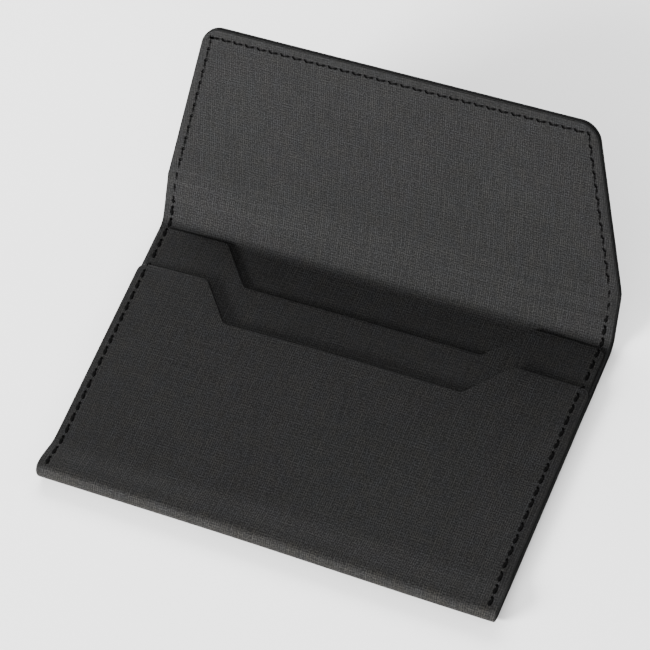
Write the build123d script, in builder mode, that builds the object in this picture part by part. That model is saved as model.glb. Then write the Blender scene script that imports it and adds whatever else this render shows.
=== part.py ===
from build123d import *
import os
from math import cos, sin, radians, hypot

# A flap-over business card case of black linen-grain sheet, lying open on its back.
# One outer cover sheet runs from the flap over the spine and down the back, turns up round
# the bottom fold and comes back as the front pocket panel. A second pocket panel lies behind
# it. Stiffener boards lie between cover and lining, a magnet is hidden in the flap and its
# steel keeper in the front panel, and one lockstitched seam runs up one side, round the flap
# and down the other side. All cut edges are coated.
#
# Frame: X across the case, Y up the back from the bottom fold to the flap, Z out of the back.
# The origin is the centre of the back's outer face. Millimetres and degrees.

os.makedirs("parts", exist_ok=True)

# ---- overall sizes -------------------------------------------------------------------
case_width = 105.0  # over the coated side edges
body_height = 63.6  # bottom fold to lower crease
spine_length = 11.0  # lower crease to upper crease
flap_length = 36.6  # upper crease to flap tip
flap_tip_width = 88.8  # over the coated side edges, at the tip
flap_corner_radius = 4.5

# ---- how the case rests: each panel's angle above the back ----------------------------
spine_angle = 44.0
flap_angle = 55.0

# ---- sheet thicknesses ---------------------------------------------------------------
cover_thickness = 0.6
board_thickness = 0.5
lining_thickness = 0.4
divider_thickness = 0.5
pocket_lining_thickness = 0.3
edge_coat_thickness = 0.2

# ---- pocket panels -------------------------------------------------------------------
divider_below_crease = 1.2  # the second panel's shoulders stay this far below the crease
panel_step = 9.8  # between the two panels' shoulders
divider_inset = 3.0  # the second panel starts this far above the bottom fold
divider_side_inset = 0.6  # its side edges stay this far inside the other layers' edges
notch_depth = 8.9
notch_top_width = 71.2  # between the shoulders, at the shoulders' height
notch_floor_width = 55.2
notch_radius = 1.8  # at the shoulders and at the notch floor
pocket_corner_radius = 1.8  # outer top corners of both pocket panels

# ---- bottom fold ---------------------------------------------------------------------
fold_height = 4.1  # the fold stands this thick, more than the sewn stack
fold_run = 9.0  # from the fold to where the front panel lies down on the stack

# ---- creases -------------------------------------------------------------------------
crease_gap = 0.4  # between the panels' ends at a crease laid flat

# ---- seam ----------------------------------------------------------------------------
stitch_pitch = 2.73
seam_inset = 2.1  # from the coated edge to the seam
seam_start = 4.6  # above the bottom fold
thread_thickness = 0.22
thread_width = 0.5
stitch_groove_depth = 0.25
stitch_groove_width = 0.6
needle_hole_radius = 0.34

# ---- closure -------------------------------------------------------------------------
magnet_width = 11.0
magnet_height = 9.0
magnet_thickness = 0.8
magnet_from_crease = 28.0  # upper crease to the magnet's centre
keeper_width = 12.0
keeper_height = 10.0
keeper_thickness = 0.4
keeper_drop = 0.6  # the keeper's centre lies this far below the closed magnet's
insert_clearance = 0.05  # all round a magnet or keeper
pad_margin = 0.6  # the sheet's raised pad reaches this far past the insert
pad_radius = 1.2
pocket_pad_rise = 0.3

# ---- worked-out places ---------------------------------------------------------------
divider_height = body_height - divider_below_crease  # bottom fold to its shoulders
pocket_height = divider_height - panel_step
keeper_from_fold = body_height - magnet_from_crease - keeper_drop  # to the keeper's centre
panel_half_width = case_width / 2 - edge_coat_thickness
tip_half_width = flap_tip_width / 2 - edge_coat_thickness
bottom_y = -body_height / 2
crease_y = body_height / 2
fold_radius = fold_height / 2
stack_start_y = bottom_y + fold_radius
body_end_y = crease_y - crease_gap / 2
pocket_top_y = bottom_y + pocket_height
divider_top_y = bottom_y + divider_height
pocket_flat_y = bottom_y + fold_run

board_z = cover_thickness
lining_z = board_z + board_thickness
hull_thickness = lining_z + lining_thickness  # cover, board and lining together
divider_top_z = hull_thickness + divider_thickness
pocket_cover_z = divider_top_z + pocket_lining_thickness
pocket_top_z = pocket_cover_z + cover_thickness
seam_x = case_width / 2 - seam_inset
knot_depth = hull_thickness / 2  # the two threads lock halfway through cover and lining

# Each hinged panel has its own plane: origin on the crease at the lining's face, local X
# along the crease, local Y away from the body, local Z out of the lining.
body_plane = Plane.XY
spine_run = (0, cos(radians(spine_angle)), sin(radians(spine_angle)))
flap_run = (0, cos(radians(flap_angle)), sin(radians(flap_angle)))
lower_crease = Vector(0, crease_y, hull_thickness)
upper_crease = lower_crease + Vector(*spine_run) * spine_length
spine_plane = Plane(origin=lower_crease, x_dir=(1, 0, 0), z_dir=(0, -spine_run[2], spine_run[1]))
flap_plane = Plane(origin=upper_crease, x_dir=(1, 0, 0), z_dir=(0, -flap_run[2], flap_run[1]))
hinged_cover_z = -hull_thickness
hinged_board_z = hinged_cover_z + cover_thickness
hinged_lining_z = -lining_thickness
spine_start = crease_gap / 2
spine_end = spine_length - crease_gap / 2
flap_start = crease_gap / 2

# The flap's sides lean in from the crease to the tip.
flap_lean = (panel_half_width - tip_half_width) / flap_length
flap_seam_lean = hypot(1, flap_lean)
flap_seam_tip_y = flap_length - seam_inset


def flap_half_width(y):
    """Half the flap's width between its coated edges, y from the upper crease."""
    return panel_half_width - flap_lean * y


def flap_seam_x(y):
    """Half the distance between the flap's side seams, y from the upper crease."""
    return flap_half_width(y) + edge_coat_thickness - seam_inset * flap_seam_lean


# ---- outlines ------------------------------------------------------------------------
def strip_outline(start_y, end_y):
    """Full-width strip between two heights."""
    with BuildSketch() as outline:
        with Locations((0, (start_y + end_y) / 2)):
            Rectangle(2 * panel_half_width, end_y - start_y)
    return outline.sketch


def pocket_outline(start_y, top_y, side_inset=0.0):
    """Pocket panel with a sloping-sided notch in its top edge."""
    side_x = panel_half_width - side_inset
    notch_y = top_y - notch_depth
    shoulder_x = notch_top_width / 2
    floor_x = notch_floor_width / 2
    right_side = [
        (0, notch_y),
        (floor_x, notch_y),
        (shoulder_x, top_y),
        (side_x, top_y),
        (side_x, start_y),
    ]
    left_side = [(-x, y) for x, y in reversed(right_side[1:])]
    with BuildSketch() as outline:
        with BuildLine():
            Polyline(*right_side, *left_side, close=True)
        make_face()
        above_start = outline.vertices().group_by(Axis.Y)[1:]
        corners = ShapeList(vertex for level in above_start for vertex in level)
        outer = corners.filter_by(lambda v: abs(abs(v.X) - side_x) < 0.01)
        fillet(outer, radius=pocket_corner_radius)
        notch_corners = outline.vertices().filter_by(
            lambda v: min(abs(abs(v.X) - floor_x), abs(abs(v.X) - shoulder_x)) < 0.01
        )
        fillet(notch_corners, radius=notch_radius)
    return outline.sketch


def flap_outline(grow=0.0):
    """Flap panel: a trapezium with rounded tip corners, grown by the edge coat or not."""
    with BuildSketch() as outline:
        with BuildLine():
            Polyline(
                (-flap_half_width(0), 0),
                (flap_half_width(0), 0),
                (tip_half_width, flap_length - edge_coat_thickness),
                (-tip_half_width, flap_length - edge_coat_thickness),
                close=True,
            )
        make_face()
        tip_corners = outline.vertices().group_by(Axis.Y)[-1]
        fillet(tip_corners, radius=flap_corner_radius - edge_coat_thickness)
        if grow:
            offset(amount=grow, mode=Mode.REPLACE)
    with BuildSketch() as cut:
        add(outline.sketch)
        with Locations((0, flap_start)):
            Rectangle(
                2 * case_width,
                2 * flap_length,
                align=(Align.CENTER, Align.MIN),
                mode=Mode.INTERSECT,
            )
    return cut.sketch


# ---- seam runs -----------------------------------------------------------------------
def needle_points(start, end):
    """Needle holes from start to end at the nearest whole number of stitches."""
    length = hypot(end[0] - start[0], end[1] - start[1])
    count = max(1, round(length / stitch_pitch))
    return [
        (
            start[0] + (end[0] - start[0]) * i / count,
            start[1] + (end[1] - start[1]) * i / count,
        )
        for i in range(count + 1)
    ]


first_hole_y = bottom_y + seam_start
last_hole_y = crease_y - stitch_pitch / 2
spine_first_y = stitch_pitch / 2
spine_last_y = spine_length - stitch_pitch / 2
flap_first_y = stitch_pitch / 2
seam_corner_x = flap_seam_x(flap_seam_tip_y)

body_runs = [((side * seam_x, first_hole_y), (side * seam_x, last_hole_y)) for side in (-1, 1)]
spine_runs = [((side * seam_x, spine_first_y), (side * seam_x, spine_last_y)) for side in (-1, 1)]
flap_side_runs = [
    ((side * flap_seam_x(flap_first_y), flap_first_y), (side * seam_corner_x, flap_seam_tip_y))
    for side in (-1, 1)
]
flap_tip_run = ((-seam_corner_x, flap_seam_tip_y), (seam_corner_x, flap_seam_tip_y))
flap_runs = flap_side_runs + [flap_tip_run]


def holes_outline(runs, below=None):
    """Needle holes of several seam runs, each hole once, optionally only below a height."""
    points = []
    for start, end in runs:
        for x, y in needle_points(start, end):
            if below is not None and y > below + needle_hole_radius:
                continue
            if all(hypot(x - px, y - py) > needle_hole_radius for px, py in points):
                points.append((x, y))
    with BuildSketch() as holes:
        with Locations(*points):
            Circle(needle_hole_radius)
    return holes.sketch


def grooves_outline(runs):
    """The shallow channel that the thread lies in along each run."""
    with BuildSketch() as grooves:
        for start, end in runs:
            middle = ((start[0] + end[0]) / 2, (start[1] + end[1]) / 2)
            along = Vector(end[0] - start[0], end[1] - start[1])
            turn = Vector(1, 0).get_signed_angle(along, Vector(0, 0, 1))
            with Locations(Location((middle[0], middle[1], 0), (0, 0, turn))):
                SlotCenterToCenter(along.length, stitch_groove_width)
    return grooves.sketch


def run_plane(plane, start, end):
    """Plane through a run: local X along the seam, local Y out of the sheet."""
    along = plane.from_local_coords(Vector(*end, 0)) - plane.from_local_coords(Vector(*start, 0))
    return Plane(
        origin=plane.from_local_coords(Vector(*start, 0)),
        x_dir=along,
        z_dir=along.cross(plane.z_dir),
    )


def comb_outline(hole_steps, surfaces, knot, sign):
    """Side view of one thread: level runs between needle holes and a leg down each hole.

    surfaces lists (start, end, outer face height) along the seam; sign is +1 for the needle
    thread on the lining side and -1 for the bobbin thread on the cover side.
    """
    half_leg = thread_thickness / 2
    with BuildSketch() as comb:
        for start, end, face in surfaces:
            bed = face - sign * stitch_groove_depth
            low, high = sorted((bed, bed + sign * thread_thickness))
            with Locations(((start + end) / 2, (low + high) / 2)):
                Rectangle(end - start, high - low)
        for (_, step, upper), (_, _, lower) in zip(surfaces, surfaces[1:]):
            low = lower - stitch_groove_depth
            high = upper - stitch_groove_depth + thread_thickness
            with Locations((step - half_leg, (low + high) / 2)):
                Rectangle(thread_thickness, high - low)
        for along in hole_steps:
            face = next(f for start, end, f in surfaces if along <= end + 0.001)
            low, high = sorted((knot, face - sign * stitch_groove_depth))
            with Locations((along, (low + high) / 2)):
                Rectangle(thread_thickness, high - low)
    return comb.sketch


def run_steps(run):
    """Distance of each needle hole from the start of a run."""
    return [hypot(x - run[0][0], y - run[0][1]) for x, y in needle_points(*run)]


def thread_along(plane, run, surfaces, knot, sign):
    """One thread of one straight run."""
    seam = run_plane(plane, *run)
    with BuildPart() as thread:
        with BuildSketch(seam):
            add(comb_outline(run_steps(run), surfaces, knot, sign))
        extrude(amount=thread_width / 2, both=True)
    return thread.part


def level_surface(run, face):
    """The whole of a run on one level face, half a leg past its end holes."""
    half_leg = thread_thickness / 2
    return [(-half_leg, run_steps(run)[-1] + half_leg, face)]


def save(part, name):
    """Label a finished piece and write it under its node name."""
    part.label = name
    export_step(part, f"parts/{name}.step")
    solids = part.solids()
    print(f"{name}: {len(solids)} solid(s), {sum(s.volume for s in solids):.1f} mm3")


# ======================================================================================
# Body: the back, the bottom fold and the two pocket panels
# ======================================================================================
with BuildPart() as back_cover:
    with BuildSketch(body_plane):
        add(strip_outline(stack_start_y, body_end_y))
    extrude(amount=cover_thickness)
    with BuildSketch(body_plane):
        add(holes_outline(body_runs))
    extrude(amount=cover_thickness, mode=Mode.SUBTRACT)
    with BuildSketch(body_plane):
        add(grooves_outline(body_runs))
    extrude(amount=stitch_groove_depth, mode=Mode.SUBTRACT)
save(back_cover.part, "back_cover")

with BuildPart() as back_board:
    with BuildSketch(body_plane.offset(board_z)):
        add(strip_outline(stack_start_y, body_end_y))
        add(holes_outline(body_runs), mode=Mode.SUBTRACT)
    extrude(amount=board_thickness)
save(back_board.part, "back_board")

with BuildPart() as back_lining:
    with BuildSketch(body_plane.offset(lining_z)):
        add(strip_outline(stack_start_y, body_end_y))
        add(holes_outline(body_runs), mode=Mode.SUBTRACT)
    extrude(amount=lining_thickness)
    with BuildSketch(body_plane.offset(hull_thickness)):
        add(grooves_outline([
            ((side * seam_x, divider_top_y), (side * seam_x, last_hole_y)) for side in (-1, 1)
        ]))
    extrude(amount=-stitch_groove_depth, mode=Mode.SUBTRACT)
save(back_lining.part, "back_lining")

with BuildPart() as divider_panel:
    with BuildSketch(body_plane.offset(hull_thickness)):
        add(pocket_outline(bottom_y + divider_inset, divider_top_y, divider_side_inset))
        add(holes_outline(body_runs, below=divider_top_y), mode=Mode.SUBTRACT)
    extrude(amount=divider_thickness)
    with BuildSketch(body_plane.offset(divider_top_z)):
        add(grooves_outline([
            ((side * seam_x, pocket_top_y), (side * seam_x, divider_top_y)) for side in (-1, 1)
        ]))
    extrude(amount=-stitch_groove_depth, mode=Mode.SUBTRACT)
save(divider_panel.part, "divider_panel")

with BuildPart() as pocket_lining:
    with BuildSketch(body_plane.offset(divider_top_z)):
        add(pocket_outline(pocket_flat_y, pocket_top_y))
        add(holes_outline(body_runs, below=pocket_top_y), mode=Mode.SUBTRACT)
    extrude(amount=pocket_lining_thickness)
save(pocket_lining.part, "pocket_lining")

# The cover's turn round the bottom: half a tube.
with BuildPart() as bottom_fold:
    with BuildSketch(Plane.YZ.offset(-panel_half_width)):
        with Locations((stack_start_y, fold_radius)):
            Circle(fold_radius)
            Circle(fold_radius - cover_thickness, mode=Mode.SUBTRACT)
            Rectangle(
                2 * fold_height,
                2 * fold_height,
                align=(Align.MIN, Align.CENTER),
                mode=Mode.SUBTRACT,
            )
    extrude(amount=2 * panel_half_width)
save(bottom_fold.part, "bottom_fold")

# The front panel leaves the fold at its full height and settles on the sewn stack.
with BuildPart() as pocket_cover:
    with BuildSketch(Plane.YZ.offset(-panel_half_width)):
        with BuildLine():
            ease = (fold_run - fold_radius) / 2
            outer = Bezier(
                (stack_start_y, fold_height),
                (stack_start_y + ease, fold_height),
                (pocket_flat_y - ease, pocket_top_z),
                (pocket_flat_y, pocket_top_z),
            )
            flat = Line(outer @ 1, (pocket_top_y, pocket_top_z))
            top_edge = Line(flat @ 1, (pocket_top_y, pocket_cover_z))
            under = Line(top_edge @ 1, (pocket_flat_y, pocket_cover_z))
            inner = Bezier(
                (pocket_flat_y, pocket_cover_z),
                (pocket_flat_y - ease, pocket_cover_z),
                (stack_start_y + ease, fold_height - cover_thickness),
                (stack_start_y, fold_height - cover_thickness),
            )
            Line(inner @ 1, outer @ 0)
        make_face()
    extrude(amount=2 * panel_half_width)
    with BuildSketch(body_plane):
        add(pocket_outline(bottom_y, pocket_top_y))
    extrude(amount=2 * fold_height, mode=Mode.INTERSECT)
    with BuildSketch(body_plane.offset(pocket_cover_z)):
        with Locations((0, bottom_y + keeper_from_fold)):
            RectangleRounded(keeper_width + 2 * pad_margin, keeper_height + 2 * pad_margin, pad_radius)
    extrude(amount=cover_thickness + pocket_pad_rise)
    with BuildSketch(body_plane.offset(pocket_cover_z)):
        with Locations((0, bottom_y + keeper_from_fold)):
            Rectangle(keeper_width + 2 * insert_clearance, keeper_height + 2 * insert_clearance)
    extrude(amount=keeper_thickness + insert_clearance, mode=Mode.SUBTRACT)
    with BuildSketch(body_plane):
        add(holes_outline(body_runs, below=pocket_top_y))
    extrude(amount=2 * fold_height, mode=Mode.SUBTRACT)
    with BuildSketch(body_plane.offset(pocket_top_z - stitch_groove_depth)):
        add(grooves_outline([
            ((side * seam_x, first_hole_y), (side * seam_x, pocket_top_y)) for side in (-1, 1)
        ]))
    extrude(amount=fold_height, mode=Mode.SUBTRACT)
save(pocket_cover.part, "pocket_cover")

with BuildPart() as pocket_keeper:
    with BuildSketch(body_plane.offset(pocket_cover_z)):
        with Locations((0, bottom_y + keeper_from_fold)):
            Rectangle(keeper_width, keeper_height)
    extrude(amount=keeper_thickness)
    fillet(pocket_keeper.edges().filter_by(Axis.Z), radius=pad_radius / 2)
save(pocket_keeper.part, "pocket_keeper")

# Side seams: the needle thread runs over the front panel, then the second panel, then the
# lining, and drops down each panel's top edge. The bobbin thread runs along the back.
pocket_step = pocket_height - seam_start + thread_thickness
divider_step = divider_height - seam_start + thread_thickness
seam_end = last_hole_y - first_hole_y + thread_thickness / 2
with BuildPart() as body_needle_thread:
    for run in body_runs:
        levels = [
            (-thread_thickness / 2, pocket_step, pocket_top_z),
            (pocket_step, divider_step, divider_top_z),
            (divider_step, seam_end, hull_thickness),
        ]
        add(thread_along(body_plane, run, levels, knot_depth, 1))
save(body_needle_thread.part, "body_needle_thread")

with BuildPart() as body_bobbin_thread:
    for run in body_runs:
        add(thread_along(body_plane, run, level_surface(run, 0), knot_depth, -1))
save(body_bobbin_thread.part, "body_bobbin_thread")

# The coat on the side edges covers the cut ends of the cover, board, lining and front panel.
with BuildPart() as body_edge_coat:
    for side in (-1, 1):
        plane_x = panel_half_width if side > 0 else -case_width / 2
        with BuildSketch(Plane.YZ.offset(plane_x)):
            with Locations((stack_start_y, fold_radius)):
                Circle(fold_radius)
                Circle(fold_radius - cover_thickness, mode=Mode.SUBTRACT)
                Rectangle(
                    2 * fold_height,
                    2 * fold_height,
                    align=(Align.MIN, Align.CENTER),
                    mode=Mode.SUBTRACT,
                )
            for start, end, low, high in (
                (stack_start_y, body_end_y, 0, hull_thickness),
                (pocket_flat_y, pocket_top_y - pocket_corner_radius, 0, pocket_top_z),
            ):
                with Locations(((start + end) / 2, (low + high) / 2)):
                    Rectangle(end - start, high - low)
            with BuildLine():
                add(outer)
                add(inner)
                Line(inner @ 1, outer @ 0)
                Line(outer @ 1, inner @ 0)
            make_face()
        extrude(amount=edge_coat_thickness)
save(body_edge_coat.part, "body_edge_coat")

# ======================================================================================
# Spine: the narrow panel between the two creases
# ======================================================================================
with BuildPart() as spine_cover:
    with BuildSketch(spine_plane.offset(hinged_cover_z)):
        add(strip_outline(spine_start, spine_end))
        add(holes_outline(spine_runs), mode=Mode.SUBTRACT)
    extrude(amount=cover_thickness)
    with BuildSketch(spine_plane.offset(hinged_cover_z)):
        add(grooves_outline(spine_runs))
    extrude(amount=stitch_groove_depth, mode=Mode.SUBTRACT)
save(spine_cover.part, "spine_cover")

with BuildPart() as spine_board:
    with BuildSketch(spine_plane.offset(hinged_board_z)):
        add(strip_outline(spine_start, spine_end))
        add(holes_outline(spine_runs), mode=Mode.SUBTRACT)
    extrude(amount=board_thickness)
save(spine_board.part, "spine_board")

with BuildPart() as spine_lining:
    with BuildSketch(spine_plane.offset(hinged_lining_z)):
        add(strip_outline(spine_start, spine_end))
        add(holes_outline(spine_runs), mode=Mode.SUBTRACT)
    extrude(amount=lining_thickness)
    with BuildSketch(spine_plane):
        add(grooves_outline(spine_runs))
    extrude(amount=-stitch_groove_depth, mode=Mode.SUBTRACT)
save(spine_lining.part, "spine_lining")

with BuildPart() as spine_needle_thread:
    for run in spine_runs:
        add(thread_along(spine_plane, run, level_surface(run, 0), -knot_depth, 1))
save(spine_needle_thread.part, "spine_needle_thread")

with BuildPart() as spine_bobbin_thread:
    for run in spine_runs:
        add(thread_along(spine_plane, run, level_surface(run, hinged_cover_z), -knot_depth, -1))
save(spine_bobbin_thread.part, "spine_bobbin_thread")

with BuildPart() as spine_edge_coat:
    with BuildSketch(spine_plane.offset(hinged_cover_z)):
        with Locations(
            (panel_half_width + edge_coat_thickness / 2, spine_length / 2),
            (-panel_half_width - edge_coat_thickness / 2, spine_length / 2),
        ):
            Rectangle(edge_coat_thickness, spine_end - spine_start)
    extrude(amount=hull_thickness)
save(spine_edge_coat.part, "spine_edge_coat")

# ======================================================================================
# Flap
# ======================================================================================
with BuildPart() as flap_cover:
    with BuildSketch(flap_plane.offset(hinged_cover_z)):
        add(flap_outline())
        add(holes_outline(flap_runs), mode=Mode.SUBTRACT)
    extrude(amount=cover_thickness)
    with BuildSketch(flap_plane.offset(hinged_cover_z)):
        add(grooves_outline(flap_runs))
    extrude(amount=stitch_groove_depth, mode=Mode.SUBTRACT)
save(flap_cover.part, "flap_cover")

with BuildPart() as flap_board:
    with BuildSketch(flap_plane.offset(hinged_board_z)):
        add(flap_outline())
        add(holes_outline(flap_runs), mode=Mode.SUBTRACT)
        with Locations((0, magnet_from_crease)):
            Rectangle(
                magnet_width + 2 * insert_clearance,
                magnet_height + 2 * insert_clearance,
                mode=Mode.SUBTRACT,
            )
    extrude(amount=board_thickness)
save(flap_board.part, "flap_board")

# The magnet is thicker than the board, so the lining rises over it in a low pad.
magnet_stand = magnet_thickness - board_thickness
with BuildPart() as flap_lining:
    with BuildSketch(flap_plane.offset(hinged_lining_z)):
        add(flap_outline())
        add(holes_outline(flap_runs), mode=Mode.SUBTRACT)
    extrude(amount=lining_thickness)
    with BuildSketch(flap_plane.offset(hinged_lining_z)):
        with Locations((0, magnet_from_crease)):
            RectangleRounded(magnet_width + 2 * pad_margin, magnet_height + 2 * pad_margin, pad_radius)
    extrude(amount=lining_thickness + magnet_stand)
    with BuildSketch(flap_plane.offset(hinged_lining_z)):
        with Locations((0, magnet_from_crease)):
            Rectangle(magnet_width + 2 * insert_clearance, magnet_height + 2 * insert_clearance)
    extrude(amount=magnet_stand + insert_clearance, mode=Mode.SUBTRACT)
    with BuildSketch(flap_plane):
        add(grooves_outline(flap_runs))
    extrude(amount=-stitch_groove_depth, mode=Mode.SUBTRACT)
save(flap_lining.part, "flap_lining")

with BuildPart() as flap_magnet:
    with BuildSketch(flap_plane.offset(hinged_board_z)):
        with Locations((0, magnet_from_crease)):
            Rectangle(magnet_width, magnet_height)
    extrude(amount=magnet_thickness)
save(flap_magnet.part, "flap_magnet")

# Up one side, across the tip and down the other: the runs join at the corner holes.
with BuildPart() as flap_needle_thread:
    for run in flap_runs:
        add(thread_along(flap_plane, run, level_surface(run, 0), -knot_depth, 1))
save(flap_needle_thread.part, "flap_needle_thread")

with BuildPart() as flap_bobbin_thread:
    for run in flap_runs:
        add(thread_along(flap_plane, run, level_surface(run, hinged_cover_z), -knot_depth, -1))
save(flap_bobbin_thread.part, "flap_bobbin_thread")

with BuildPart() as flap_edge_coat:
    with BuildSketch(flap_plane.offset(hinged_cover_z)):
        add(flap_outline(grow=edge_coat_thickness))
        add(flap_outline(), mode=Mode.SUBTRACT)
    extrude(amount=hull_thickness)
save(flap_edge_coat.part, "flap_edge_coat")
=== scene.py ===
from math import atan2, cos, hypot, pi, radians, sin, tan

import bpy
import bmesh
from mathutils import Matrix, Vector


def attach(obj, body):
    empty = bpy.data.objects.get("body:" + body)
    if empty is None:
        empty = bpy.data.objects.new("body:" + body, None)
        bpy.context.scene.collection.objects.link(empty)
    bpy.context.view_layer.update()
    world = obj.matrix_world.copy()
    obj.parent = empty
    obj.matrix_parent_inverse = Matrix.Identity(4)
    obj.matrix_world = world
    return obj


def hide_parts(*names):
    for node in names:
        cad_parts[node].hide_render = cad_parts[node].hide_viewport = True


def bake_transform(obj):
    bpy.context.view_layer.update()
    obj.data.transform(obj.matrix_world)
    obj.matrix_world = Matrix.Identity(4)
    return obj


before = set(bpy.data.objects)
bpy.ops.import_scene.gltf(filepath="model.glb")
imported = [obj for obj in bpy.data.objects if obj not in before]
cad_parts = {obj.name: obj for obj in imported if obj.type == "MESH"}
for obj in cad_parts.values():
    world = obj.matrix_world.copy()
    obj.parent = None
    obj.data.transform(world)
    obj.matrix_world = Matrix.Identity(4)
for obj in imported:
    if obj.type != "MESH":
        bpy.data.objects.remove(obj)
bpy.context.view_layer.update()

# A flap-over business card case of black linen-grain sheet, lying open on its back.
# Each sheet is cut out flat on the bench in millimetres, given its thickness, its stitch
# dents and its needle slits, and then folded up along the case's own profile.

MM = 0.001

# ---- sizes of the case, millimetres and degrees -----------------------------------------
CASE_WIDTH = 105.0
BODY_HEIGHT = 63.6
SPINE_LENGTH = 11.0
FLAP_LENGTH = 36.6
FLAP_TIP_WIDTH = 88.8
FLAP_CORNER_RADIUS = 4.5
SPINE_ANGLE = 44.0
FLAP_ANGLE = 55.0

COVER = 0.6
LINING = 0.4
HULL = 1.5
DIVIDER = 0.5
POCKET_LINING = 0.3
EDGE_PAINT = 0.08

POCKET_HEIGHT = 52.6
DIVIDER_HEIGHT = 62.4
DIVIDER_START = 3.0
DIVIDER_SIDE_INSET = 0.6
NOTCH_DEPTH = 8.9
NOTCH_TOP = 71.2
NOTCH_FLOOR = 55.2
NOTCH_RADIUS = 1.8
POCKET_CORNER = 1.8

FOLD_RADIUS = 2.05
FOLD_RUN = 9.0

STITCH = 2.73
SEAM_INSET = 2.1
SEAM_START = 1.6

# low pads over the magnet and the keeper: half width and half height
MAGNET_PAD = (6.1, 5.1)
MAGNET_PLACE = 28.0  # from the upper crease
KEEPER_PAD = (6.6, 5.6)
KEEPER_PLACE = 35.0  # from the bottom
PAD_RISE = 0.08
PAD_SOFTNESS = 2.4
KEEPER_HALF_WIDTH, KEEPER_HALF_HEIGHT, KEEPER = 6.0, 5.0, 0.4
KEEPER_CORNER = 1.0
KEEPER_GAP = 0.05  # between the keeper and the front panel's lining

# ---- how the sheets bend ----------------------------------------------------------------
LOWER_BEND = 4.2  # radius of the lining's face at the lower crease
UPPER_BEND = 24.0
MOUTH = 2.0  # how far the front panel stands off the stack in the middle of its top
DIVIDER_MOUTH = 0.8
FLARE_LEFT, FLARE_RIGHT = 0.3, 0.8  # how far the bottom fold's ends spread
FLARE_REACH = 9.0  # how far up the front panel the spread fades out
SKEW = 0.7  # how much farther the fold reaches at its right end
DROOP = 0.3  # how far the front panel is pressed down outside its seam
LOWER_REACH, UPPER_REACH = 2.2, 2.4  # how far from its crease each skin starts to bend

# ---- worked-out places ------------------------------------------------------------------
BOTTOM = -BODY_HEIGHT / 2
CREASE = BODY_HEIGHT / 2
UPPER_CREASE = CREASE + SPINE_LENGTH
MID_SPINE = CREASE + SPINE_LENGTH / 2
TIP = UPPER_CREASE + FLAP_LENGTH
HALF = CASE_WIDTH / 2 - EDGE_PAINT
TIP_HALF = FLAP_TIP_WIDTH / 2 - EDGE_PAINT
STACK_START = BOTTOM + FOLD_RADIUS
POCKET_TOP = BOTTOM + POCKET_HEIGHT
DIVIDER_TOP = BOTTOM + DIVIDER_HEIGHT
FLAT_START = BOTTOM + FOLD_RUN
DIVIDER_FACE = HULL + DIVIDER
POCKET_UNDER = DIVIDER_FACE + POCKET_LINING
POCKET_FACE = POCKET_UNDER + COVER
# along the cover, where the fold turns into the front panel
FOLD_END = STACK_START - pi * FOLD_RADIUS
SEAM_X = CASE_WIDTH / 2 - SEAM_INSET
FLAP_LEAN = (HALF - TIP_HALF) / FLAP_LENGTH


def on_cover(y):
    """Place along the flat cover of a height on the front panel."""
    return FOLD_END - (y - STACK_START)


COVER_START = on_cover(POCKET_TOP)


def ease(t):
    t = min(1.0, max(0.0, t))
    return t * t * (3 - 2 * t)


# ---- profiles ---------------------------------------------------------------------------
def hull_at(s):
    """Lining face of the back, spine and flap at s along it: y, z and angle."""
    lower, upper = radians(SPINE_ANGLE), radians(FLAP_ANGLE)
    y, z, angle, at = 0.0, HULL, 0.0, 0.0
    for crease, turned, radius in (
        (CREASE, lower, LOWER_BEND),
        (UPPER_CREASE, upper, UPPER_BEND),
    ):
        reach = radius * tan((turned - angle) / 2)
        if s <= crease - reach:
            break
        step = crease - reach - at
        y, z = y + step * cos(angle), z + step * sin(angle)
        share = min(1.0, (s - crease + reach) / (2 * reach))
        bent = angle + (turned - angle) * share
        y += radius * (sin(bent) - sin(angle))
        z += radius * (cos(angle) - cos(bent))
        angle, at = bent, crease + reach
        if share < 1.0:
            return y, z, angle
    return y + (s - at) * cos(angle), z + (s - at) * sin(angle), angle


def pocket_face(y):
    """Height of the front panel's outer face above the table, without its mouth."""
    fall = ease((y - STACK_START) / (FLAT_START - STACK_START))
    return 2 * FOLD_RADIUS + (POCKET_FACE - 2 * FOLD_RADIUS) * fall


def mouth(x, y, height, top):
    """How far a pocket panel bows away from the stack."""
    across = max(0.0, 1 - (x / (SEAM_X - 1)) ** 2)
    return height * across * ease((y - FLAT_START) / (top - NOTCH_DEPTH - FLAT_START))


def droop(x, y):
    """Outside the seam the front panel's edges are pressed down, less so near the fold."""
    return DROOP * ease((abs(x) - SEAM_X - 0.1) / 1.7) * ease((y - STACK_START - 1) / 6)


def flared(x, y):
    """The fold and the foot of the front panel spread a little past the other layers' sides."""
    across = ease((abs(x) - SEAM_X + 8) / 10)
    spread = across * ease((STACK_START + FLARE_REACH - y) / FLARE_REACH)
    return x + spread * (FLARE_RIGHT if x > 0 else -FLARE_LEFT)


def skewed(x, y):
    """The fold reaches a little farther from the crease toward its right end."""
    return y - SKEW * ease((x + 20) / 70) * ease((FLAT_START + 5 - y) / 12)


def fold_hull(x, s, h):
    y, z, a = hull_at(s)
    return x, y - h * sin(a), z + h * cos(a)


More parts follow.
